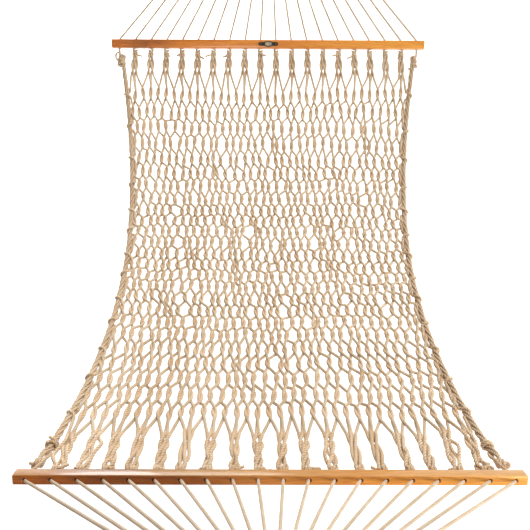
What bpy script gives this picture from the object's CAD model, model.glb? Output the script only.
"""A rope hammock: the net, lines, knots, clews and varnished bars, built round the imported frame."""

from math import asin, atan2, copysign, cos, hypot, pi, radians, sin, sqrt

import bpy
import bmesh
import numpy as np
from mathutils import Matrix, Vector


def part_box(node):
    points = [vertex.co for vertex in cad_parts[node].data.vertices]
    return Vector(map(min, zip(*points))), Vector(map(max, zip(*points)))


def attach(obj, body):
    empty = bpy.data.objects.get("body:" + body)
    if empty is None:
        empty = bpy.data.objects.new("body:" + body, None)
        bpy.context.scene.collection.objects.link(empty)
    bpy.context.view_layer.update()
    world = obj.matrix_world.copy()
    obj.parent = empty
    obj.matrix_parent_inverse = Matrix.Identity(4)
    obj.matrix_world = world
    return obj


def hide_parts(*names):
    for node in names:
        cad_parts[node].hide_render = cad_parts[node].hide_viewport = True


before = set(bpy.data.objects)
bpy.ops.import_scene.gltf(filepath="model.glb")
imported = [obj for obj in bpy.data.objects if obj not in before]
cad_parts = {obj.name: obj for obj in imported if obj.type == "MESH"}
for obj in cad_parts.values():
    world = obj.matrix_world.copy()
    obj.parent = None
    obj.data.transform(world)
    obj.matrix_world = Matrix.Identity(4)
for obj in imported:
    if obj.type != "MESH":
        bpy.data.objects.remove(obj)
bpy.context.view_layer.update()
chance = np.random.default_rng(7)

# -------- sizes, in metres
HOLES = 20  # in each bar
LOOPS = HOLES - 2  # end loops of the net, one for each line but the outer two
COLUMNS = 2 * LOOPS  # of twists across the net
ROWS = 26  # from the foot's loops, row 0, to the head's
NET_ROPE = 0.0056  # radius of the net's rope where it lies loose
LINE_ROPE = 0.0044  # radius of a line
CORE_ROPE = 0.0050  # radius of each of the four ropes in an edge cord
LAY = 0.030  # one turn of a rope's three strands
FIRST_ROW, LAST_ROW = 0.262, 1.813  # the outermost twists, along the bed from its foot end
ROW_BUNCHING = 0.155  # how much closer the rows lie in the middle than at the ends
PULLED = 0.98  # how thin a rope is between its twists, beside its thickness in them
FAR_THIN = 0.92  # and at the head, where it is drawn tighter
EDGE_WRAP, EDGE_WRAP_LONG = 0.0140, 0.030  # a net rope's turn round an edge cord: radius, length
TWIST_SHARE = 0.58  # of the way from row to row, over which two ropes go round each other
NET_STEP, LINE_STEP = 0.0052, 0.0055  # between a rope's points on its straight runs
LOOP_TIP = 0.0042  # from the bed's end to a loop's
FOOT_NECK, HEAD_NECK = 0.168, 0.116  # from a loop's tip to where its two pairs part
KNOT_BACK = 0.0298  # from a bar's centre to the middle of a knot
EDGE_KNOT_DROP = 0.020  # the outer knots lie this much farther from the bar
NET_HALF_THICK = 0.0035
BAR_WIDTH, BAR_HEIGHT, BAR_ROUND = 0.038, 0.0286, 0.0035
HOLE_PITCH, HOLE_RADIUS = 0.070, 0.006
CLEW_LAYER, CLEW_TOP, CLEW_STEP = 0.0034, 0.043, 0.012  # half its thickness, from the ring, from row to row
RING_WIRE = 0.0045
HOOK_ROD = 0.004

# -------- places, from the frame


def middle(node):
    low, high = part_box(node)
    return np.array((low + high) / 2)


BAR = middle("head_spreader_bar")
RING = middle("head_ring")
LINE_ANGLE = atan2(RING[2] - BAR[2], RING[1] - BAR[1])
TILT = radians(42)
BAR_AXIS = np.array([0, cos(TILT), sin(TILT)])
BAR_UP = np.array([0, -sin(TILT), cos(TILT)])
LINE_AXIS = np.array([0, cos(LINE_ANGLE), sin(LINE_ANGLE)])
LINE_UP = np.array([0, -sin(LINE_ANGLE), cos(LINE_ANGLE)])
X, UP = np.array([1.0, 0, 0]), np.array([0, 0, 1.0])
BAR_HALF = float(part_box("head_spreader_bar")[1].x)
NET_END = float(BAR[1] - KNOT_BACK * cos(TILT))
NET_TOP = float(BAR[2] - KNOT_BACK * sin(TILT))
NET_LOW = float(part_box("net_bed")[0].z + NET_HALF_THICK)
edge_low, edge_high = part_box("right_edge_cord")
EDGE_RADIUS = 0.010
EDGE_MID = edge_low.x + EDGE_RADIUS
EDGE_FLARE, FLARE_POWER = 0.098, 1.9  # how the net widens towards its ends


def bed_height(y):
    return NET_TOP - (NET_TOP - NET_LOW) * (1 - (y / NET_END) ** 2)


def half_width(y):
    return EDGE_MID + EDGE_FLARE * np.abs(y / BAR[1]) ** FLARE_POWER


def hole_x(index):
    return (index - (HOLES - 1) / 2) * HOLE_PITCH


def bed_frame(y):
    """Directions along the bed and up from it, at a distance y from its middle."""
    slope = 2 * (NET_TOP - NET_LOW) * y / NET_END**2
    along = np.array([0, 1, slope]) / hypot(1, slope)
    return along, np.array([0, -along[2], along[1]])


def turned(points):
    """The same points at the foot end: half a turn about Z."""
    return np.asarray(points) * [-1, -1, 1]


# -------- rope


def unit(v):
    return v / max(np.linalg.norm(v), 1e-12)


def transported(points):
    """Tangents and a pair of cross directions that don't spin along the points."""
    n = len(points)
    legs = np.diff(points, axis=0)
    legs /= np.maximum(np.linalg.norm(legs, axis=1, keepdims=True), 1e-12)
    tangent = np.empty_like(points)
    tangent[0], tangent[-1] = legs[0], legs[-1]
    tangent[1:-1] = legs[:-1] + legs[1:]
    tangent /= np.maximum(np.linalg.norm(tangent, axis=1, keepdims=True), 1e-12)
    side = np.empty_like(points)
    start = np.array([0.3, 0.1, 0.95])
    side[0] = unit(start - tangent[0] * start.dot(tangent[0]))
    for i in range(1, n):
        s = side[i - 1] - tangent[i] * side[i - 1].dot(tangent[i])
        side[i] = s / sqrt(s.dot(s))
    return tangent, side, np.cross(tangent, side)


def smoothed(points, times=1):
    points = np.array(points, float)
    for _ in range(times):
        points[1:-1] = (points[:-2] + 2 * points[1:-1] + points[2:]) / 4
    return points


def distances(points):
    """Each point's distance along the way through them."""
    return np.concatenate([[0], np.cumsum(np.linalg.norm(np.diff(points, axis=0), axis=1))])


def resampled(points, step):
    """Points at an even distance along the way through the given ones."""
    points = np.asarray(points, float)
    at = distances(points)
    fine = np.linspace(0, at[-1], max(int(at[-1] / step) + 1, 3))
    return np.stack([np.interp(fine, at, points[:, k]) for k in range(3)], 1)


def curve_through(points, each=8):
    """A Catmull-Rom curve through hand-placed points."""
    p = np.asarray(points, float)
    p = np.vstack([2 * p[0] - p[1], p, 2 * p[-1] - p[-2]])
    t = np.linspace(0, 1, each, endpoint=False)[:, None]
    out = []
    for a, b, c, d in zip(p[:-3], p[1:-2], p[2:-1], p[3:]):
        bend_2, bend_3 = 2 * a - 5 * b + 4 * c - d, 3 * b - a - 3 * c + d
        out.append(0.5 * (2 * b + (c - a) * t + bend_2 * t**2 + bend_3 * t**3))
    out.append(p[-2][None])
    return np.vstack(out)


def add(data, name):
    made = bpy.data.objects.new(name, data)
    bpy.context.scene.collection.objects.link(made)
    return made


class Ropes:
    """Laid three-strand ropes gathered into one mesh, with their strands twisted in the surface."""

    def __init__(self):
        self.points, self.faces, self.crest, self.tone, self.tint = [], [], [], [], []
        self.count = 0

    def add(self, path, radius, sides=6, lay=LAY, tone=None, taper=None, depth=0.2, tint=0.0):
        path = np.asarray(path, float)
        _, side, other = transported(path)
        turn = 2 * pi * (distances(path) / lay + chance.random())
        corner = np.arange(sides) * 2 * pi / sides
        crest = 0.5 + 0.5 * np.cos(3 * corner)
        swell = 1.08 - depth * (1 - crest)
        scale = radius * (np.ones(len(path)) if taper is None else taper)
        angle = turn[:, None] + corner[None]
        ring = scale[:, None] * swell[None]
        shape = (np.cos(angle) * ring)[..., None] * side[:, None]
        shape = shape + (np.sin(angle) * ring)[..., None] * other[:, None]
        self.points.append((path[:, None] + shape).reshape(-1, 3))
        n = len(path)
        a = (np.arange(n - 1)[:, None] * sides + np.arange(sides)[None]).ravel()
        b = (np.arange(n - 1)[:, None] * sides + (np.arange(sides)[None] + 1) % sides).ravel()
        quads = np.stack([a, b, b + sides, a + sides], 1) + self.count
        self.faces.extend(quads.tolist())
        last = self.count + (n - 1) * sides
        self.faces.append([self.count + k for k in range(sides)][::-1])
        self.faces.append([last + k for k in range(sides)])
        self.crest.append(np.tile(crest, n))
        shade = chance.normal(0, 0.5) if tone is None else tone
        self.tone.append(np.full(n * sides, shade))
        self.tint.append(np.repeat(np.broadcast_to(tint, n), sides))
        self.count += n * sides

    def make(self, name):
        mesh = bpy.data.meshes.new(name)
        mesh.from_pydata(np.vstack(self.points), [], self.faces)
        for attribute, values in (("crest", self.crest), ("tone", self.tone), ("tint", self.tint)):
            layer = mesh.attributes.new(attribute, "FLOAT", "POINT")
            layer.data.foreach_set("value", np.concatenate(values).astype(np.float32))
        mesh.polygons.foreach_set("use_smooth", [True] * len(mesh.polygons))
        mesh.materials.append(ROPE)
        piece = add(mesh, name)
        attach(piece, "hammock")
        return piece


# -------- materials


class Nodes:
    """A short way to write a material's node tree."""

    def __init__(self, name):
        self.material = bpy.data.materials.new(name)
        self.material.use_nodes = True
        self.tree = self.material.node_tree
        self.shader = self.tree.nodes["Principled BSDF"]

    def node(self, kind, settings=None, **inputs):
        made = self.tree.nodes.new(kind)
        for key, value in (settings or {}).items():
            setattr(made, key, value)
        for key, value in inputs.items():
            self.feed(made.inputs[key.replace("_", " ")], value)
        return made

    def feed(self, socket, value):
        if isinstance(value, bpy.types.NodeSocket):
            self.tree.links.new(value, socket)
        else:
            socket.default_value = value

    def set(self, **values):
        """Constants of the shader."""
        for key, value in values.items():
            self.shader.inputs[key.replace("_", " ")].default_value = value

    def place(self, scale):
        coordinates = self.node("ShaderNodeTexCoord").outputs["Object"]
        return self.node("ShaderNodeMapping", Vector=coordinates, Scale=scale).outputs["Vector"]

    def noise(self, vector, scale, detail=3.0, roughness=0.55, distortion=0.0):
        return self.node("ShaderNodeTexNoise", Vector=vector, Scale=scale, Detail=detail, Roughness=roughness,
                         Distortion=distortion).outputs["Fac"]

    def ramp(self, value, *stops):
        made = self.node("ShaderNodeValToRGB", Fac=value)
        elements = made.color_ramp.elements
        while len(elements) < len(stops):
            elements.new(0.5)
        for element, (at, colour) in zip(elements, stops):
            element.position = at
            element.color = colour if len(colour) == 4 else (*colour, 1)
        return made.outputs["Color"]

    def maths(self, operation, a, b=0.0):
        made = self.node("ShaderNodeMath", {"operation": operation})
        self.feed(made.inputs[0], a)
        self.feed(made.inputs[1], b)
        return made.outputs[0]

    def scaled(self, value, by, plus):
        return self.maths("ADD", self.maths("MULTIPLY", value, by), plus)

    def mix(self, share, a, b, kind="MIX"):
        made = self.node("ShaderNodeMix", {"data_type": "RGBA", "blend_type": kind})
        self.feed(made.inputs[0], share)
        self.feed(made.inputs[6], a)
        self.feed(made.inputs[7], b)
        return made.outputs[2]

    def bump(self, height, strength, distance):
        made = self.node("ShaderNodeBump", Strength=strength, Distance=distance, Height=height)
        self.feed(self.shader.inputs["Normal"], made.outputs["Normal"])

    def attribute(self, name):
        return self.node("ShaderNodeAttribute", {"attribute_name": name}).outputs["Fac"]


def linear(*srgb):
    """An sRGB colour in 0-255 as linear values."""
    return tuple(((c / 255 + 0.055) / 1.055) ** 2.4 if c > 10.3 else c / 255 / 12.92 for c in srgb) + (1.0,)


BLACK, WHITE = (0, 0, 0), (1, 1, 1)


def rope_material(name):
    """Spun rope: fibres, darker grooves between strands, and a greyer tint on the lines beyond the bars."""
    m = Nodes(name)
    place = m.place((1, 1, 1))
    fibre = m.noise(place, 900, 4, 0.65)
    patch = m.noise(place, 14, 3, 0.6)
    crest, tone, tint = (m.attribute(a) for a in ("crest", "tone", "tint"))
    grain = m.scaled(fibre, 0.45, m.maths("MULTIPLY", patch, 0.55))
    shade = m.scaled(tone, 0.10, grain)
    tan = m.ramp(shade, (0.30, linear(204, 172, 133)), (0.66, linear(227, 203, 170)))
    grey = m.ramp(shade, (0.30, linear(176, 152, 121)), (0.66, linear(206, 186, 159)))
    groove = m.ramp(crest, (0.0, linear(148, 112, 76)), (0.55, WHITE))
    depth = m.maths("SUBTRACT", 0.75, m.maths("MULTIPLY", tint, 0.5))
    m.feed(m.shader.inputs["Base Color"], m.mix(depth, m.mix(tint, tan, grey), groove, "MULTIPLY"))
    m.feed(m.shader.inputs["Roughness"], m.scaled(fibre, 0.25, 0.68))
    m.set(Sheen_Weight=0.15, Sheen_Roughness=0.5)
    m.bump(fibre, 0.5, 0.0006)
    return m.material


def oak_material(name, seed, light, mid, dark, along, patch_at, faded=None):
    """Varnished oak: streaks along X, pores, and the tones that its boards have along their length."""
    m = Nodes(name)
    place = m.place((1.0, 22, 22))
    shifted = m.node("ShaderNodeVectorMath", {"operation": "ADD"})
    m.feed(shifted.inputs[0], place)
    m.feed(shifted.inputs[1], (seed, seed * 1.7, seed * 0.6))
    vector = shifted.outputs[0]
    broad = m.noise(vector, 2.2, 4, 0.55, 0.6)
    streak = m.noise(vector, 9.0, 6, 0.65, 0.3)
    fine = m.noise(m.place((18, 900, 900)), 1.0, 4, 0.7)
    grain = m.scaled(broad, 0.55, m.maths("MULTIPLY", streak, 0.45))
    body = m.ramp(grain, (0.33, linear(*dark)), (0.5, linear(*mid)), (0.68, linear(*light)))
    split = m.node("ShaderNodeSeparateXYZ")
    m.feed(split.inputs[0], m.place((1, 1, 1)))
    cloud = m.noise(m.place((5, 16, 16)), 1.6, 4, 0.6, 0.8)
    where = m.scaled(split.outputs["X"], 0.5 / BAR_HALF, 0.5)
    where = m.scaled(m.maths("SUBTRACT", cloud, 0.5), 0.16, where)
    toned = m.mix(1.0, body, m.ramp(where, *along), "MULTIPLY")
    if patch_at:
        near, far = patch_at
        stain = m.ramp(where, (near - 0.05, BLACK), (near, WHITE), (far, WHITE), (far + 0.07, BLACK))
        amount = m.maths("MULTIPLY", stain, m.ramp(cloud, (0.36, (0.1,) * 3), (0.60, (0.62,) * 3)))
        toned = m.mix(amount, toned, linear(112, 70, 52))
    if faded:  # the side that lies up, by how much along the bar
        top = BAR_HEIGHT / 2
        up_side = m.ramp(split.outputs["Z"], (top - 0.0012, BLACK), (top - 0.0004, WHITE))
        amount = m.maths("MULTIPLY", up_side, m.ramp(where, *[(at, (v, v, v)) for at, v in faded]))
        streaks = m.ramp(grain, (0.33, (0.86, 0.84, 0.80)), (0.6, (1.06, 1.06, 1.06)))
        toned = m.mix(amount, toned, m.mix(1.0, linear(186, 148, 88), streaks, "MULTIPLY"))
    pores = m.ramp(fine, (0.40, (0.45, 0.34, 0.26)), (0.52, WHITE))
    m.feed(m.shader.inputs["Base Color"], m.mix(0.45, toned, pores, "MULTIPLY"))
    m.feed(m.shader.inputs["Roughness"], m.scaled(streak, 0.16, 0.30))
    m.set(Specular_IOR_Level=0.12, Coat_Weight=0.6, Coat_Roughness=0.14)
    m.bump(m.scaled(fine, 0.6, m.maths("MULTIPLY", streak, 0.8)), 0.16, 0.0006)
    return m.material


def metal_material(name, light, dark, roughness, metallic=1.0):
    m = Nodes(name)
    place = m.place((1, 1, 1))
    blot = m.noise(place, 60, 4, 0.6)
    scratch = m.noise(place, 700, 3, 0.7)
    m.feed(m.shader.inputs["Base Color"], m.ramp(blot, (0.35, linear(*dark)), (0.65, linear(*light))))
    m.feed(m.shader.inputs["Roughness"], m.scaled(blot, 0.22, roughness))
    m.set(Metallic=metallic)
    m.bump(scratch, 0.08, 0.0003)
    return m.material


ROPE = rope_material("laid_rope")
HEAD_OAK = oak_material(
    "varnished_oak_head", 3.1, (232, 156, 74), (220, 140, 62), (188, 108, 46),
    [(0.0, (0.86, 0.76, 0.80)), (0.24, (1.02, 0.94, 0.86)), (0.6, (1.0, 0.98, 0.88)),
     (1.0, (1.16, 1.34, 1.2))], (0.07, 0.14))
FOOT_OAK = oak_material(
    "varnished_oak_foot", 8.4, (218, 148, 76), (202, 130, 60), (172, 100, 42),
    [(0.0, (1.40, 1.62, 1.5)), (0.28, (1.20, 1.22, 0.95)), (0.5, (0.92, 0.90, 0.88)),
     (0.66, (0.42, 0.30, 0.16)), (0.84, (0.34, 0.22, 0.10)), (1.0, (0.66, 0.48, 0.28))], None,
    [(0.0, 0.9), (0.2, 0.8), (0.35, 0.6), (0.5, 0.9), (0.68, 0.95), (0.84, 0.25), (1.0, 0.85)])
drilled = Nodes("drilled_oak")
scorched = drilled.ramp(drilled.noise(drilled.place((300, 40, 300)), 1.0, 3),
                        (0.35, linear(28, 14, 7)), (0.65, linear(58, 31, 15)))
drilled.feed(drilled.shader.inputs["Base Color"], scorched)
drilled.set(Roughness=0.8)
ZINC = metal_material("zinc_plate", (205, 207, 208), (150, 154, 158), 0.26)
PEWTER = metal_material("worn_pewter", (188, 178, 156), (132, 124, 106), 0.36, 0.8)
BRONZE = metal_material("dark_bronze", (74, 72, 62), (34, 36, 32), 0.38, 0.8)
BRASS = metal_material("aged_brass", (176, 148, 96), (110, 88, 52), 0.30)

# -------- the bed's own coordinates: x, s along it, up

arc_y = np.linspace(-NET_END, NET_END, 1601)
arc_s = np.concatenate([[0], np.cumsum(np.hypot(np.diff(arc_y), np.diff(bed_height(arc_y))))])
BED_LENGTH = float(arc_s[-1])


def on_bed(points):
    """World places of points given across the bed, along it from the foot end, and up from it."""
    p = np.atleast_2d(np.asarray(points, float))
    s = np.clip(p[:, 1], 0, BED_LENGTH)
    y = np.interp(s, arc_s, arc_y)
    slope = 2 * (NET_TOP - NET_LOW) * y / NET_END**2
    length = np.hypot(1, slope)
    over = p[:, 1] - s
    return np.stack([p[:, 0], y + (over - p[:, 2] * slope) / length,
                     bed_height(y) + (over * slope + p[:, 2]) / length], 1)


def width_at(s):
    return half_width(np.interp(s, arc_s, arc_y))


def row_place(row):
    """Along the bed: the rows lie closer together towards the middle."""
    t = (2 * row - ROWS) / (ROWS - 2)
    middle_s, half = (FIRST_ROW + LAST_ROW) / 2, (LAST_ROW - FIRST_ROW) / 2
    return middle_s + half * ((1 - ROW_BUNCHING) * t + ROW_BUNCHING * t**3)


def wander(scale, waves=14):
    """A smooth random field over the bed."""
    k = chance.normal(0, 1, (waves, 2)) * scale
    phase = chance.uniform(0, 2 * pi, waves)
    return lambda x, s: float(np.sum(np.sin(k[:, 0] * x + k[:, 1] * s + phase)) / sqrt(waves / 2))


drift_x, drift_s = wander(26), wander(20)
pull_x, pull_s = wander(8), wander(6)
gaps = np.stack([chance.uniform(-0.5, 0.5, 16), chance.uniform(FIRST_ROW + 0.1, LAST_ROW - 0.1, 16),
                 chance.uniform(0.006, 0.012, 16)], 1)  # where the net is pulled open: x, s, by how much


def pulled_open(x, s):
    aside = x - gaps[:, 0]
    fade = np.exp(-(aside / 0.045) ** 2 - ((s - gaps[:, 1]) / 0.05) ** 2)
    return float(np.sum(gaps[:, 2] * np.tanh(aside / 0.012) * fade))


nodes = {}  # (row, twice the column plus one): x, s, tilt, twist's half length, hand
for row in range(1, ROWS):
    pitch = row_place(row + 0.5) - row_place(row - 0.5)
    for place in range(row % 2 ^ 1, 2 * COLUMNS + 1, 2):
        s = row_place(row)
        x = (place / COLUMNS - 1) * width_at(s)
        edge = place in (0, 2 * COLUMNS)
        loose = sin(pi * min(1, (row - 0.4) / 4, (ROWS - 0.4 - row) / 4) / 2)
        dx = 0.0044 * drift_x(x, s) + 0.0048 * pull_x(x, s) + chance.normal(0, 0.0027) + pulled_open(x, s)
        ds = 0.0050 * drift_s(x, s) + 0.0060 * pull_s(x, s) + chance.normal(0, 0.0046)
        near = min(1.0, (1 - abs(x) / width_at(s)) * COLUMNS / 4)
        tilt = radians(chance.normal(0, 5))
        half = TWIST_SHARE * pitch / 2 * chance.uniform(0.80, 1.20)
        nodes[row, place] = (x + (0 if edge else dx * loose * near), s + ds * (0.4 if edge else 1),
                             tilt, half, 1 if row % 4 < 2 else -1)


def twist_points(node, left, going_up):
    """One rope's way through a twist: over or under the other, beside it, and back over or under."""
    x, s, tilt, half, hand = node
    count = 12
    t = np.linspace(-1, 1, count) if going_up else np.linspace(1, -1, count)
    half_turn = 0.5 * pi * (0.55 * t + 0.45 * t**3)
    angle = (pi if left else 0) + hand * (pi + half_turn)
    reach = NET_ROPE * (0.84 - 0.14 * t**4)
    across, up = np.cos(angle) * reach, np.sin(angle) * reach
    along = t * half
    return np.stack([x + across * cos(tilt) - along * sin(tilt),
                     s + along * cos(tilt) + across * sin(tilt), up], 1)


def edge_wrap_points(node, side, going_up):
    """One rope's turn round an edge cord."""
    _, s, _, _, hand = node
    t = np.linspace(0, 1, 11)
    angle = 2 * pi * t * hand
    along = s + (t - 0.5) * EDGE_WRAP_LONG * (1 if going_up else -1)
    x = side * (width_at(along) - EDGE_WRAP * np.cos(angle))
    return np.stack([x, along, EDGE_WRAP * np.sin(angle)], 1)


def lane_points(lane, going_up):
    """A rope's way between the end loops: row by row it goes round its neighbour on one side or the other."""
    rows = range(1, ROWS) if going_up else range(ROWS - 1, 0, -1)
    out = []
    for row in rows:
        left = (lane + row) % 2 == 1  # the rope on the left of its pair
        place = lane + 1 + (1 if left else 0)
        node = nodes[row, place]
        if place in (0, 2 * COLUMNS):
            out.append(edge_wrap_points(node, -1 if place == 0 else 1, going_up))
        else:
            out.append(twist_points(node, left, going_up))
    return out


def joined(parts):
    """Parts and the straight runs between them; how full the rope is at each point, and how bare."""
    out, bare = [parts[0]], [np.zeros(len(parts[0]))]
    for a, b in zip(parts[:-1], parts[1:]):
        gap = np.linalg.norm(b[0] - a[-1])
        steps = max(int(gap / NET_STEP), 1)
        t = (np.arange(1, steps) / steps)[:, None]
        out.append(a[-1] * (1 - t) + b[0] * t)
        bare.append(np.ones(steps - 1))
        out.append(b)
        bare.append(np.zeros(len(b)))
    out = np.vstack(out)
    tight = np.interp(out[:, 1], [0.5 * BED_LENGTH, 0.85 * BED_LENGTH], [1.0, FAR_THIN])
    bare = smoothed(np.concatenate(bare), 2)
    return out, (1 - (1 - PULLED) * bare) * tight, bare


# -------- end loops: a twisted pair bent round its line


def loop_centre(loop, foot):
    """A loop's middle line as x, distance from its tip and up, from its first column to its second."""
    hole = hole_x(loop + 1)
    neck = (FOOT_NECK if foot else HEAD_NECK) + chance.normal(0, 0.007)
    natural = ((4 * loop + 2) / COLUMNS - 1) * width_at(neck)
    lean = (0.9 if foot else 0.55) * (natural - hole) + chance.normal(0, 0.0045 if foot else 0.002)
    spread = chance.uniform(0.0074, 0.0092)
    if foot:
        swell = chance.uniform(0.0062, 0.0084) if chance.random() < 0.72 else chance.uniform(0.0100, 0.0135)
        slack = chance.normal(0, 0.003)
        if chance.random() < 0.55:  # the legs cross above the eye
            over = 0.0052 * chance.choice([-1, 1])
            leg = [(-spread, 1.0, 0), (-0.9 * spread, 0.72, 0), (-0.4 * spread, 0.44, 0.6 * over),
                   (0.5 * spread, 0.30, over), (0.8 * swell, 0.205, 0.5 * over), (swell, 0.135, 0),
                   (0.72 * swell, 0.055, 0)]
        else:
            leg = [(-spread, 1.0, 0), (-0.85 * spread, 0.72, 0), (-0.72 * spread, 0.46, 0),
                   (-0.8 * spread, 0.32, 0), (-0.86 * swell, 0.21, 0), (-swell, 0.135, 0),
                   (-0.72 * swell, 0.055, 0)]
    else:
        slack = 0.0
        leg = [(-spread, 1.0, 0), (-0.95 * spread, 0.8, 0), (-0.9 * spread, 0.6, 0),
               (-0.85 * spread, 0.42, 0), (-0.0062, 0.27, 0), (-0.0045, 0.13, 0), (-0.0035, 0.05, 0)]
    back = [(-x, d, -up) for x, d, up in reversed(leg)]
    place = [(hole + x + slack * (1 - d) + lean * d**1.3, LOOP_TIP + d * (neck - LOOP_TIP), up)
             for x, d, up in [*leg, (0, 0.012, 0), *back]]
    return resampled(curve_through(place, 6), 0.004)


def pair_strands(centre, turns, hand, reach, slips=()):
    """Two ropes twisted about a middle line, the first starting on its -x side."""
    legs = np.gradient(centre[:, :2], axis=0)
    legs /= np.linalg.norm(legs, axis=1, keepdims=True)
    across = np.stack([-legs[:, 1], legs[:, 0], np.zeros(len(legs))], 1)
    angle = hand * 2 * pi * turns * np.linspace(0, 1, len(centre))
    strands = []
    for start in (pi, 0):
        offset = np.cos(angle + start)[:, None] * across + np.sin(angle + start)[:, None] * UP
        strands.append(centre + reach * offset)
    for strand, first, last, amount in slips:
        u = np.clip((np.linspace(0, 1, len(centre)) - first) / (last - first), 0, 1)
        strands[strand][:, 0] += amount * np.sin(pi * u) ** 1.3
        strands[strand][:, 2] += 0.35 * abs(amount) * np.sin(pi * u)
    return strands


def head_side(points):
    """Loop coordinates, measured from the tip, as bed coordinates at the head end."""
    return points * [1, -1, 1] + [0, BED_LENGTH, 0]


# Slack strands in the foot's loops: strand, from and to as shares of its length, how far it bulges.
SLACK = {0: [(0, 0.06, 0.44, -0.021)], 1: [(1, 0.56, 0.94, 0.022)], 5: [(1, 0.55, 0.78, 0.007)],
         11: [(0, 0.10, 0.42, -0.010)], 14: [(0, 0.52, 0.80, 0.012)],
         16: [(1, 0.54, 0.90, 0.015), (0, 0.1, 0.4, -0.008)]}
loops = {}  # (loop, foot): middle line in bed coordinates
net = [Ropes() for _ in range(4)]
for i in range(LOOPS):
    ends = {}
    for foot in (True, False):
        centre = loop_centre(i, foot)
        turns = int(chance.integers(2, 4)) if foot else 2
        strands = pair_strands(centre, turns, 1 if chance.random() < 0.7 else -1, 0.92 * NET_ROPE,
                               SLACK.get(i, ()) if foot else ())
        loops[i, foot] = centre if foot else head_side(centre)
        ends[foot] = strands if foot else [head_side(p) for p in strands]
    for strand, (up_lane, down_lane) in enumerate(((4 * i - 1, 4 * i + 2), (4 * i, 4 * i + 1))):
        foot_part, head_part = ends[True][strand], ends[False][strand]
        half = len(foot_part) // 2
        way = [foot_part[: half + 1][::-1], *lane_points(up_lane, True), head_part,
               *lane_points(down_lane, False), foot_part[half:][::-1]]
        points, full, bare = joined(way)
        net[i * 4 // LOOPS].add(on_bed(smoothed(points)), NET_ROPE, taper=full, tint=0.75 * bare)
net_pieces = [ropes.make(f"net_{n}") for n, ropes in zip(("far_left", "left", "right", "far_right"), net)]
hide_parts("net_bed")

# -------- edge cords

CORD_CORE = 0.0066  # from a cord's middle to the middles of its four ropes
CORD_TURNS, COLLAR_TURNS, COLLAR_PITCH = 15, 1.8, 0.0078
EYE_LENGTH, EYE_OPEN_FOOT, EYE_OPEN_HEAD = 0.064, 0.0058, 0.0012
cord_end = float(np.interp(float(edge_high.y), arc_y, arc_s))
cord_s = (BED_LENGTH - cord_end + 0.014, cord_end - 0.010)  # where the eyes' bights begin


def cord_strand(side, phase, s):
    """One of a cord's four ropes; near the cord's ends they part in two pairs, an eye."""
    t = (s - cord_s[0]) / (cord_s[1] - cord_s[0])
    angle = 2 * pi * CORD_TURNS * t * side + phase - 0.25 * pi
    wobble = 1 + 0.08 * np.sin(s * 31 + phase * 3) + 0.06 * np.sin(s * 57 + phase)
    reach = CORD_CORE * wobble
    from_end = np.minimum(s - cord_s[0], cord_s[1] - s)
    open_by = np.where(t < 0.5, EYE_OPEN_FOOT, EYE_OPEN_HEAD)
    apart = open_by * np.sin(pi * np.clip(from_end / EYE_LENGTH, 0, 1))
    sign = 1 if cos(phase - 0.25 * pi) > 0 else -1
    return np.stack([side * width_at(s) + reach * np.cos(angle) + apart * sign, s, reach * np.sin(angle)], 1)


def eye(side, s_end, outward, start, finish, reach):
    """A bight at a cord's end, from one rope's end to another's."""
    middle_x = side * width_at(s_end)
    lean = side * 0.002
    w = reach * 0.55
    way = ((-1, 0.9, start[2] * 0.6), (-0.5, 1.45, 0), (0.5, 1.45, 0), (1, 0.9, finish[2] * 0.6))
    turn = [(middle_x + aside * w + lean, s_end + outward * reach * ahead, up) for aside, ahead, up in way]
    if start[0] > finish[0]:
        turn.reverse()
    return curve_through([start, *turn, finish], 6)[1:-1]


for side, name in ((-1, "left"), (1, "right")):
    cord = Ropes()
    along = np.arange(cord_s[0] + 0.006, cord_s[1] - 0.006, 0.006)
    for a, b, reach in ((0, 2, 0.016), (1, 3, 0.0115)):
        go = cord_strand(side, a * pi / 2, along)
        back = cord_strand(side, b * pi / 2, along[::-1])
        head_eye = eye(side, along[-1], 1, tuple(go[-1]), tuple(back[0]), reach)
        foot_eye = eye(side, along[0], -1, tuple(back[-1]), tuple(go[0]), reach)
        half = len(foot_eye) // 2
        way = np.vstack([foot_eye[half:], go, head_eye, back, foot_eye[: half + 1]])
        way = resampled(on_bed(smoothed(way)), 0.0046)
        cord.add(way, CORE_ROPE, lay=0.032, tone=0.1 + chance.normal(0, 0.2))
    # a collar round the cord where the foot's eye begins, with both its cut ends out
    angle = np.linspace(0, 2 * pi * COLLAR_TURNS, 30) + chance.uniform(0, 6)
    around = CORD_CORE + CORE_ROPE + 0.0036
    at = cord_s[0] + EYE_LENGTH + 0.006 + np.linspace(-0.5, 0.5, 30) * COLLAR_PITCH * COLLAR_TURNS
    wraps = np.stack([side * width_at(at) + around * np.cos(angle), at, around * np.sin(angle)], 1)
    for end_point, before in ((0, 1), (-1, -2)):
        ahead = unit(wraps[end_point] - wraps[before])
        stub = wraps[end_point] + ahead * np.linspace(0.004, chance.uniform(0.012, 0.024), 5)[:, None]
        wraps = np.vstack([stub[::-1], wraps]) if end_point == 0 else np.vstack([wraps, stub])
    cord.add(on_bed(smoothed(wraps)), 0.86 * NET_ROPE, tone=-0.1)
    piece = cord.make(f"{name}_edge_ropes")
    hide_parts(f"{name}_edge_cord")

# -------- lines, knots and clews

RING_RADIUS = float((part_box("head_ring")[1].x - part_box("head_ring")[0].x) / 2) - RING_WIRE
RING_ARC = radians(50)  # of the ring, each side of its middle, that the lines' bights take up
BEND_RADIUS = 0.0065
HUG = 0.0034  # how far off its hole's middle a line leaves
PINCH, PINCH_RUN = 0.16, 0.026  # how much thinner a line is in its hole, and over how long
EDGE_KNOT_RADIUS = 0.0108


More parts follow.
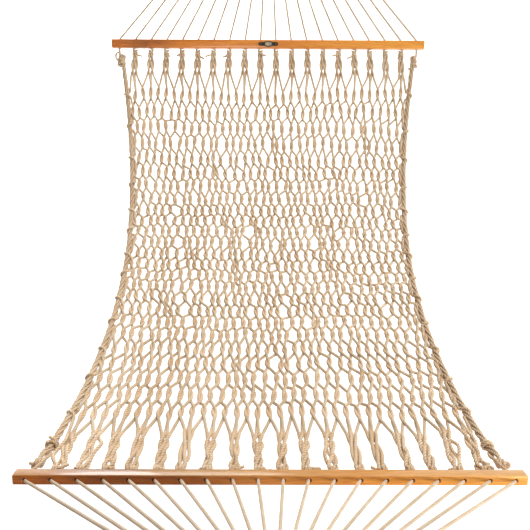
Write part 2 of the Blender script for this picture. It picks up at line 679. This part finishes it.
def local(points):
    """Across, towards the hook and up from the ring's plane, as world places at the head end."""
    p = np.atleast_2d(np.asarray(points, float))
    return RING + p[:, :1] * X + p[:, 1:2] * LINE_AXIS + p[:, 2:3] * LINE_UP


def line_start(index):
    """Where a line goes into the clew: the outer lines nearest the ring, in two layers."""
    from_middle = index - (HOLES - 1) / 2
    order = HOLES / 2 - 0.5 - abs(from_middle)
    x = 0.00175 * (2 * from_middle + copysign(1, from_middle))
    return np.array([x, -CLEW_TOP - CLEW_STEP * (order + 0.5), CLEW_LAYER if index % 2 else -CLEW_LAYER])


def bend(mouth, target):
    """Points of a line from the mouth of its hole, round a bend, and on towards its clew."""
    to = target - mouth
    ahead = to.dot(BAR_AXIS)
    aside = to - BAR_AXIS * ahead
    offset = np.linalg.norm(aside)
    aside = aside / offset
    mouth, offset = mouth + aside * HUG, offset - HUG
    reach = hypot(ahead, BEND_RADIUS - offset)
    turn = asin(BEND_RADIUS / reach) - atan2(BEND_RADIUS - offset, ahead)
    angle = np.linspace(0, turn, 6)[:, None]
    centre = mouth + aside * BEND_RADIUS
    return centre - aside * BEND_RADIUS * np.cos(angle) + BAR_AXIS * BEND_RADIUS * np.sin(angle)


def tail(start, direction, length, droop, curl):
    """A short cut end: out from its knot, sagging a little and curling."""
    direction = unit(np.asarray(direction, float))
    side = unit(np.cross(direction, [0.2, 0.3, 1.0]))
    t = np.linspace(0, 1, 6)[1:, None]
    return start + direction * length * t + side * curl * t**2 + np.array([0, 0, -droop]) * t**2


def overhand(centre, ahead, aside, up, size, flat, turn):
    """A trefoil's way round a middle: a drawn-up overhand knot."""
    t = np.linspace(0.25, 2 * pi - 0.25, 34) + turn
    a, b, c = np.sin(t) + 2 * np.sin(2 * t), np.cos(t) - 2 * np.cos(2 * t), -np.sin(3 * t)
    return centre + size * (a[:, None] * aside + b[:, None] * up * flat + c[:, None] * 1.1 * ahead)


def hole_mouth(index):
    """A hole's middle, and a place just inside it on the net's side."""
    hole = BAR + X * hole_x(index)
    return hole, hole - BAR_AXIS * (BAR_WIDTH / 2 - 0.004)


def turns_about(start, turns, pitch, count):
    """The angles of a rope's turns round something, and how far along it each point lies."""
    angle = np.linspace(start, start + 2 * pi * turns, count)
    return angle, ((angle - angle[0]) / (2 * pi) * pitch - 0.5 * pitch * turns)[:, None]


def line_knot(index, foot):
    """The knotted end of a line, from its cut tail to its hole, in the head's places for both ends."""
    hole, mouth = hole_mouth(index)
    centre = hole - BAR_AXIS * (KNOT_BACK + 0.0026)
    hand = chance.choice([-1, 1])
    long_tail = chance.random() < (0.45 if foot else 0.38)
    length = chance.uniform(0.017, 0.031) if long_tail else chance.uniform(0.006, 0.010)
    if foot:
        # nearly two turns round the loop's bight, and in some a knot drawn up beside it
        radius = 2.05 * NET_ROPE + 0.0016
        angle, across = turns_about(radians(-38), 1.75, 0.0078, 20)
        wraps = (centre + hand * across * X + radius * np.cos(angle)[:, None] * BAR_UP
                 - 0.86 * radius * np.sin(angle)[:, None] * BAR_AXIS)
        if chance.random() < 0.45 or index in (16, 17, 18, 1, 2):
            size = chance.uniform(0.0026, 0.0033) * (1.5 if index == 1 else 1)
            aside = hand * chance.uniform(0.008, 0.013) * X
            knot = overhand(centre + aside + 0.003 * BAR_UP - 0.002 * BAR_AXIS, BAR_AXIS * 0.7, X, BAR_UP,
                            size, 0.9, chance.uniform(0, 6.28))
            wraps = np.vstack([wraps, knot])
        away = X * hand + BAR_UP * chance.uniform(-0.3, 0.5) - BAR_AXIS * chance.uniform(0.1, 0.5)
        out = tail(wraps[-1], away, length, 0.004, chance.normal(0, 0.004))
        return np.vstack([out[::-1], wraps[::-1], mouth])
    # a wrapped knot along the loop's two legs
    turns = chance.uniform(2.2, 3.8)
    wide, deep, pitch = 0.0086, 0.0078, 0.0086
    angle = np.linspace(0.5 * pi, 0.5 * pi + 2 * pi * turns, int(turns * 11))
    s = BED_LENGTH + 0.007 - np.linspace(0, pitch * turns, len(angle)) + 0.0018 * np.sin(angle * 1.3)
    x = hole_x(index) + hand * wide * np.cos(angle) * (1 + 0.14 * np.sin(angle * 1.7 + index))
    wraps = on_bed(np.stack([x, s, deep * np.sin(angle)], 1))
    away = X * hand * copysign(1, cos(angle[-1])) + np.array([0, -0.35, 0.2])
    out = tail(wraps[-1], away, length, 0.007, chance.normal(0, 0.005))
    return np.vstack([out[::-1], wraps[::-1], mouth - 0.004 * BAR_AXIS, mouth])


def edge_line_knot(index, foot):
    """An outer line's end, looped through the edge cord's eyes and knotted back on itself."""
    side = copysign(1, hole_x(index))
    _, mouth = hole_mouth(index)
    s_knot = BED_LENGTH - float(np.interp(NET_END - EDGE_KNOT_DROP, arc_y, arc_s))
    s_knot += 0.012 if foot else 0.006
    centre = on_bed([[side * (width_at(BED_LENGTH - s_knot) + 0.001), BED_LENGTH - s_knot, 0]])[0]
    along, up = bed_frame(NET_END - EDGE_KNOT_DROP)
    if foot:
        angle, across = turns_about(-0.6, 2.6, 0.0086, 24)
        wraps = (centre + across * X * side + EDGE_KNOT_RADIUS * np.cos(angle)[:, None] * up
                 - EDGE_KNOT_RADIUS * np.sin(angle)[:, None] * along)
    else:
        angle = np.linspace(0, 2 * pi * 3.8, 40)
        back = np.linspace(0.008, -0.034, 40)[:, None]
        girth = (EDGE_KNOT_RADIUS + 0.0018 * np.sin(angle * 0.63 + index))[:, None]
        outward = np.cos(angle)[:, None] * X * side + np.sin(angle)[:, None] * up
        wraps = centre + along * back + girth * outward
    knot = overhand(wraps[-1] + X * side * 0.003 + up * 0.004, along, X, up,
                    0.0046 if foot else 0.0032 if index else 0.0048, 0.8, chance.uniform(0, 6.28))
    wraps = np.vstack([wraps, knot])
    if not foot and index == 0:  # a spare bight hangs beside the far left knot
        spare = ((0.010, 0.012, 0.006), (0.024, 0.018, 0.004), (0.030, 0.002, 0.0), (0.021, -0.014, -0.003),
                 (0.012, -0.004, 0.006))
        wraps = np.vstack([wraps, [centre + X * side * a + along * b + up * c for a, b, c in spare]])
    out = tail(wraps[-1], X * side * -0.7 - along * 0.5 + up * 0.2, 0.026, 0.008, 0.006)
    return np.vstack([out[::-1], wraps[::-1], mouth - 0.006 * BAR_AXIS, mouth])


def bight(pair):
    """A line's way up its clew, round the ring and back down, between two neighbouring lines' starts."""
    angle = RING_ARC * (pair - (HOLES / 2 - 1) / 2) / ((HOLES / 2 - 1) / 2)
    radial = np.array([sin(angle), -cos(angle), 0])
    centre = radial * RING_RADIUS
    clear = RING_WIRE + LINE_ROPE + 0.0006
    x_ring = (centre + radial * clear * 1.6)[0]
    ways = []
    for index in (2 * pair, 2 * pair + 1):
        start = line_start(index)
        stop = -0.034 - 0.001 * abs(index - (HOLES - 1) / 2)
        beat = np.arange(start[1], stop, 0.003)
        share = (beat - start[1]) / max(stop - start[1], 1e-6)
        x = start[0] + (x_ring - start[0]) * share**2.2
        height = (1 if index % 2 else -1) * 0.0046 * np.cos(pi * (beat + CLEW_TOP) / CLEW_STEP)
        height[0] = start[2]
        ways.append(np.stack([x, beat, height], 1))
    # up the lower layer, round the wire from below to above, and back along the upper layer
    turn = np.linspace(-0.5 * pi, 0.5 * pi, 9)[:, None]
    round_wire = centre - radial * np.cos(turn) * clear + UP * np.sin(turn) * clear
    return ways[0], round_wire, ways[1][::-1]


def run(a, b):
    """Points on the straight way between two places."""
    return np.linspace(a, b, 2 + int(np.linalg.norm(a - b) / LINE_STEP))[1:-1]


for foot, end in ((False, "head"), (True, "foot")):
    lines = [Ropes(), Ropes()]
    place = turned if foot else np.asarray
    for pair in range(HOLES // 2):
        knots = []
        for index in (2 * pair, 2 * pair + 1):
            outer = index in (0, HOLES - 1)
            knot = (edge_line_knot if outer else line_knot)(index, foot)
            exit_mouth = BAR + X * hole_x(index) + BAR_AXIS * (BAR_WIDTH / 2 + 0.001)
            turn_points = bend(exit_mouth, local(line_start(index))[0])
            knots.append(np.vstack([resampled(curve_through(knot, 3), 0.0036), turn_points]))
        clew_way = resampled(smoothed(curve_through(local(np.vstack(bight(pair))), 2)), 0.0034)
        path = smoothed(np.vstack([knots[0], run(knots[0][-1], clew_way[0]), clew_way,
                                   run(clew_way[-1], knots[1][-1]), knots[1][::-1]]))
        from_ring = np.linalg.norm(path - RING, axis=1)
        past_bar = np.clip((path - BAR) @ BAR_AXIS / 0.01 - 0.5, 0, 1)
        slim = np.interp(from_ring, [0.16, 0.42], [0.72, 0.98 if foot else 0.95])
        pinched = 1 - PINCH * np.exp(-((path - BAR) @ BAR_AXIS / PINCH_RUN) ** 2)
        lines[pair * 2 // (HOLES // 2)].add(place(path), LINE_ROPE, sides=9, depth=0.09,
                                            tone=chance.normal(0, 0.4) + (0 if foot else 0.5),
                                            taper=(1 + (slim - 1) * past_bar) * pinched, tint=past_bar)
    for number, (ropes, half) in enumerate(zip(lines, ("left", "right"))):
        piece = ropes.make(f"{end}_{half}_lines")
        own = range(number * HOLES // 2, (number + 1) * HOLES // 2)
        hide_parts(*[f"{end}_line_{HOLES - i if foot else i + 1:02d}" for i in own])

    # the clew's weft, back and forth between the layers
    weft, rows = [], HOLES // 2
    for row in range(rows):
        wide = 0.0035 * (rows - row) + 0.0050
        t = -CLEW_TOP - CLEW_STEP * (row + 0.5) + 0.006
        sign = 1 if row % 2 else -1
        xs = np.linspace(-wide, wide, 12) * sign
        weft.append(np.stack([xs, np.full(12, t), 0 * xs], 1))
        if row < rows - 1:
            weft.append(np.array([[sign * (wide + 0.003), t - 0.006, 0]]))
    weft_rope = Ropes()
    weft_way = resampled(curve_through(local(np.vstack(weft[::-1])), 3), 0.0036)
    weft_rope.add(place(weft_way), 0.0025, lay=0.020, tone=-0.2)
    piece = weft_rope.make(f"{end}_clew_weft")
    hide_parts(f"{end}_clew")

# -------- rings and hooks


def solid_piece(mesh, body, slot, material, *replaced):
    mesh.materials.append(material)
    piece = add(mesh, mesh.name)
    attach(piece, body)
    if replaced:
        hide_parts(*replaced)
    return piece


def skin(name, points, corners, closed=False):
    """A mesh over rings of points that have the same number of corners, capped unless it closes on itself."""
    rings = len(points) // corners
    faces = []
    for i in range(rings if closed else rings - 1):
        a, b = i * corners, (i + 1) % rings * corners
        faces.extend((a + k, a + (k + 1) % corners, b + (k + 1) % corners, b + k) for k in range(corners))
    if not closed:
        faces.append(tuple(range(corners))[::-1])
        faces.append(tuple((rings - 1) * corners + k for k in range(corners)))
    mesh = bpy.data.meshes.new(name)
    mesh.from_pydata(points, [], faces)
    mesh.polygons.foreach_set("use_smooth", [True] * len(mesh.polygons))
    return mesh


def tube_mesh(name, path, radii, sides=20, closed=False):
    """A smooth tube, its ends rounded by its own radii."""
    path = np.asarray(path, float)
    if closed:
        path = np.vstack([path, path[:2]])
    _, side, other = transported(path)
    if closed:
        path, side, other = path[:-2], side[:-2], other[:-2]
    angle = np.arange(sides) * 2 * pi / sides
    radii = np.broadcast_to(radii, len(path))
    points = path[:, None] + radii[:, None, None] * (np.cos(angle)[None, :, None] * side[:, None]
                                                     + np.sin(angle)[None, :, None] * other[:, None])
    return skin(name, points.reshape(-1, 3), sides, closed)


angle = np.linspace(0, 2 * pi, 97)[:-1]
ring_path = np.stack([RING + RING_RADIUS * sin(a) * X + RING_RADIUS * cos(a) * LINE_AXIS for a in angle])
bead = 1 + 0.075 * np.exp(-((angle - 1.1) / 0.035) ** 2)  # the ring's weld
HOOK_BEND, HOOK_SHANK, HOOK_TIP, HOOK_SEAT, HOOK_STEP = 0.013, 0.046, 0.007, 0.0034, 0.0011
bearing = RING + LINE_AXIS * RING_RADIUS
low_centre = bearing + LINE_AXIS * HOOK_SEAT
high_centre = low_centre + LINE_AXIS * HOOK_SHANK
sweep = np.linspace(0, 1.12 * pi, 22)[:, None]
lower = low_centre + HOOK_BEND * (LINE_UP * np.cos(sweep) - LINE_AXIS * np.sin(sweep))
upper = (high_centre + HOOK_BEND * (-LINE_UP * np.cos(sweep) + LINE_AXIS * np.sin(sweep)))[::-1]
tip_step = np.linspace(1, 0, 8)[:-1, None]
hook_path = np.vstack([lower[0] + LINE_AXIS * HOOK_TIP * tip_step, lower, upper,
                       upper[-1] - LINE_AXIS * HOOK_TIP * tip_step[::-1]])
hook_path = resampled(hook_path, HOOK_STEP)
from_end = np.minimum(np.arange(len(hook_path)), np.arange(len(hook_path))[::-1]) * HOOK_STEP
hook_radii = HOOK_ROD * np.sqrt(np.clip(1 - (1 - np.clip(from_end / HOOK_ROD, 0, 1)) ** 2, 0.02, 1))
for foot, end in ((False, "head"), (True, "foot")):
    place = turned if foot else np.asarray
    solid_piece(tube_mesh(f"{end}_steel_ring", place(ring_path), RING_WIRE * bead, 22, True),
                f"{end}_ring", "zinc", ZINC, f"{end}_ring")
    solid_piece(tube_mesh(f"{end}_steel_hook", place(hook_path), hook_radii, 20),
                "hooks", "zinc", ZINC, f"{end}_hook")

# -------- bars, plate and pins


def bar_mesh(name):
    """A bar lying along X with its holes along Y, its edges eased and its holes countersunk."""
    bm = bmesh.new()
    bmesh.ops.create_cube(bm, size=1)
    bmesh.ops.scale(bm, vec=(2 * BAR_HALF, BAR_WIDTH, BAR_HEIGHT), verts=bm.verts)
    bmesh.ops.bevel(bm, geom=bm.edges[:], offset=BAR_ROUND, segments=4, profile=0.5, affect="EDGES")
    mesh = bpy.data.meshes.new(name)
    bm.to_mesh(mesh)
    bm.free()
    drill = bmesh.new()
    side, sink, count = BAR_WIDTH / 2, HOLE_RADIUS + 0.0052, 28
    profile = ((-side - 0.004, sink), (-side + 0.0012, HOLE_RADIUS),
               (side - 0.0012, HOLE_RADIUS), (side + 0.004, sink))
    for i in range(HOLES):
        rings = [[drill.verts.new((hole_x(i) + radius * cos(a), y, radius * sin(a)))
                  for a in np.arange(count) * 2 * pi / count] for y, radius in profile]
        for a, b in zip(rings[:-1], rings[1:]):
            for k in range(count):
                drill.faces.new((a[k], b[k], b[(k + 1) % count], a[(k + 1) % count]))
        drill.faces.new(rings[0])
        drill.faces.new(rings[-1][::-1])
    bmesh.ops.recalc_face_normals(drill, faces=drill.faces[:])
    drill_mesh = bpy.data.meshes.new(name + "_drill")
    drill.to_mesh(drill_mesh)
    drill.free()
    return mesh, drill_mesh


def cut(piece, drill_mesh):
    """Drill a bar, and give the walls of its holes their own material."""
    drill = add(drill_mesh, "drill")
    modifier = piece.modifiers.new("holes", "BOOLEAN")
    modifier.operation, modifier.object, modifier.solver = "DIFFERENCE", drill, "EXACT"
    graph = bpy.context.evaluated_depsgraph_get()
    mesh = bpy.data.meshes.new_from_object(piece.evaluated_get(graph))
    piece.modifiers.clear()
    piece.data = mesh
    bpy.data.objects.remove(drill)
    bm = bmesh.new()
    bm.from_mesh(mesh)
    bmesh.ops.remove_doubles(bm, verts=bm.verts[:], dist=1e-6)
    bm.to_mesh(mesh)
    bm.free()
    mesh.polygons.foreach_set("use_smooth", [True] * len(mesh.polygons))
    for face in mesh.polygons:
        x, y, z = face.center
        nearest = min(abs(x - hole_x(i)) for i in range(HOLES))
        inside = hypot(nearest, z) < HOLE_RADIUS + 0.0011 and abs(y) < BAR_WIDTH / 2 - 0.0003
        face.material_index = int(inside)
    mesh.set_sharp_from_angle(angle=radians(32))


for foot, end, material in ((False, "head", HEAD_OAK), (True, "foot", FOOT_OAK)):
    mesh, drill_mesh = bar_mesh(f"{end}_oak_bar")
    piece = add(mesh, f"{end}_oak_bar")
    cut(piece, drill_mesh)
    piece.data.materials.clear()
    piece.data.materials.append(material)
    piece.data.materials.append(drilled.material)
    piece.rotation_euler = (TILT, 0, pi if foot else 0)
    piece.location = turned(BAR) if foot else BAR
    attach(piece, f"{end}_bar")
    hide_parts(f"{end}_spreader_bar")


def bar_place(points):
    """Across, along the holes and up from the head bar's middle, as world places."""
    p = np.asarray(points, float)
    return BAR + p[:, :1] * X + p[:, 1:2] * BAR_AXIS + p[:, 2:3] * BAR_UP


def stacked(name, outlines):
    """A closed body through matching outlines, each at its own height."""
    count = len(outlines[0][0])
    points = np.vstack([np.column_stack([o, np.full(count, z)]) for o, z in outlines])
    mesh = skin(name, bar_place(points), count)
    mesh.set_sharp_from_angle(angle=radians(40))
    return mesh


PLATE_LENGTH, PLATE_WIDTH, WING_WIDTH, OVAL_LENGTH = 0.088, 0.025, 0.0160, 0.042
base = BAR_HEIGHT / 2 + 0.0004


def plate_outline(inset, count=90):
    """Two round-ended wings with an oval over their middle."""
    a = np.linspace(0, 2 * pi, count, endpoint=False)
    run, rise = np.cos(a), np.sin(a)
    half, wing = PLATE_LENGTH / 2 - inset, WING_WIDTH / 2 - inset
    straight = half - wing
    along_top = wing / np.maximum(np.abs(rise), 1e-9)
    disc = np.maximum(wing**2 - (straight * rise) ** 2, 0)
    round_end = straight * np.abs(run) + np.sqrt(disc)
    stadium_reach = np.where(along_top * np.abs(run) <= straight, along_top, round_end)
    oval_reach = 1 / np.sqrt((run / (OVAL_LENGTH / 2 - inset)) ** 2 + (rise / (PLATE_WIDTH / 2 - inset)) ** 2)
    reach = np.maximum(stadium_reach, oval_reach)
    return np.stack([run * reach, rise * reach], 1)


def ellipse(length, width, count=48):
    a = np.linspace(0, 2 * pi, count, endpoint=False)
    return np.stack([length / 2 * np.cos(a), width / 2 * np.sin(a)], 1)


plate_steps = [(0, 0.0), (0, 0.0014), (0.0003, 0.0018), (0.0010, 0.0020), (0.0016, 0.0017), (0.0020, 0.0014)]
solid_piece(stacked("blank_plate", [(plate_outline(inset), base + z) for inset, z in plate_steps]),
            "head_bar", "plate", BRONZE, "nameplate")
oval_steps = [(0.0300, 0.0176, 0.0010), (0.0300, 0.0176, 0.0024), (0.0292, 0.0168, 0.0028),
              (0.0276, 0.0152, 0.0028), (0.0262, 0.0138, 0.0023), (0.0200, 0.0100, 0.0024)]
solid_piece(stacked("blank_oval", [(ellipse(a, b), base + z) for a, b, z in oval_steps]),
            "head_bar", "plate", PEWTER)
for side, name in ((-1, "left"), (1, "right")):
    a = np.arange(20) * 2 * pi / 20
    disc = np.stack([np.cos(a), np.sin(a)], 1)
    seat = base + 0.0016
    profile = [(0.0014, base - 0.004), (0.0014, seat), (0.0028, seat + 0.0001), (0.0028, seat + 0.0005),
               (0.0024, seat + 0.0010), (0.0014, seat + 0.0014), (0.0004, seat + 0.0015)]
    outlines = [(disc * r + [side * 0.032, 0], z) for r, z in profile]
    solid_piece(stacked(f"{name}_round_pin", outlines), "head_bar", "pin_brass", BRASS, f"{name}_plate_pin")

# -------- camera, floor and light


CAMERA_PLACE, LENS, SENSOR = (-0.0266, -1.5905, 1.1881), 45.13, 36.0
YAW, PITCH, ROLL = (radians(a) for a in (-0.50, 53.44, 0.60))  # pitch is down from level
camera_data = bpy.data.cameras.new("camera")
camera_data.lens, camera_data.sensor_width = LENS, SENSOR
camera = add(camera_data, "camera")
camera.location = CAMERA_PLACE
camera.rotation_euler = (
    Matrix.Rotation(YAW, 3, "Z") @ Matrix.Rotation(pi / 2 - PITCH, 3, "X") @ Matrix.Rotation(ROLL, 3, "Z")
).to_euler()
bpy.context.scene.camera = camera

FLOOR, REACH = -2.2, 90.0
floor_mesh = bpy.data.meshes.new("floor")
corners = ((-REACH, -REACH), (REACH, -REACH), (REACH, REACH), (-REACH, REACH))
floor_mesh.from_pydata([(x, y, FLOOR) for x, y in corners], [], [(0, 1, 2, 3)])
floor = add(floor_mesh, "floor")
pale = Nodes("pale_floor")
pale.set(Base_Color=(0.94, 0.94, 0.935, 1), Roughness=0.9)
pale.set(Emission_Color=(1, 1, 1, 1), Emission_Strength=0.30)
floor_mesh.materials.append(pale.material)


def area_light(name, place, target, size, watts, colour=(1, 1, 1)):
    data = bpy.data.lights.new(name, "AREA")
    data.shape, data.size, data.energy, data.color = "DISK", size, watts, colour
    lamp = add(data, name)
    lamp.location = place
    lamp.rotation_euler = (Vector(target) - Vector(place)).to_track_quat("-Z", "Y").to_euler()
    lamp.visible_camera = False
    return lamp


area_light("side_softbox", (2.3, -2.6, 0.6), (0.4, -0.95, -0.6), 1.2, 66)
area_light("back_softbox", (-1.25, 5.0, -1.1), (-0.3, -0.97, -0.6), 3.2, 250)
head_fill = area_light("head_fill", (-0.5, -1.9, 2.3), (0, 1.0, -0.6), 1.4, 2.6)
head_fill.data.spread = radians(52)
sun_data = bpy.data.lights.new("soft_sun", "SUN")
sun_data.energy, sun_data.angle = 2.6, radians(30)
sun = add(sun_data, "soft_sun")
sun.rotation_euler = Vector((0.40, 0.55, 0.85)).to_track_quat("Z", "Y").to_euler()
world = bpy.data.worlds.new("studio")
world.use_nodes = True
background = world.node_tree.nodes["Background"]
background.inputs["Color"].default_value = (1, 1, 1, 1)
paths = world.node_tree.nodes.new("ShaderNodeLightPath")
strength = world.node_tree.nodes.new("ShaderNodeMapRange")
strength.inputs["To Min"].default_value, strength.inputs["To Max"].default_value = 0.34, 1.0
world.node_tree.links.new(paths.outputs["Is Camera Ray"], strength.inputs["Value"])
world.node_tree.links.new(strength.outputs["Result"], background.inputs["Strength"])
bpy.context.scene.world = world
bpy.context.scene.view_settings.view_transform = "Standard"
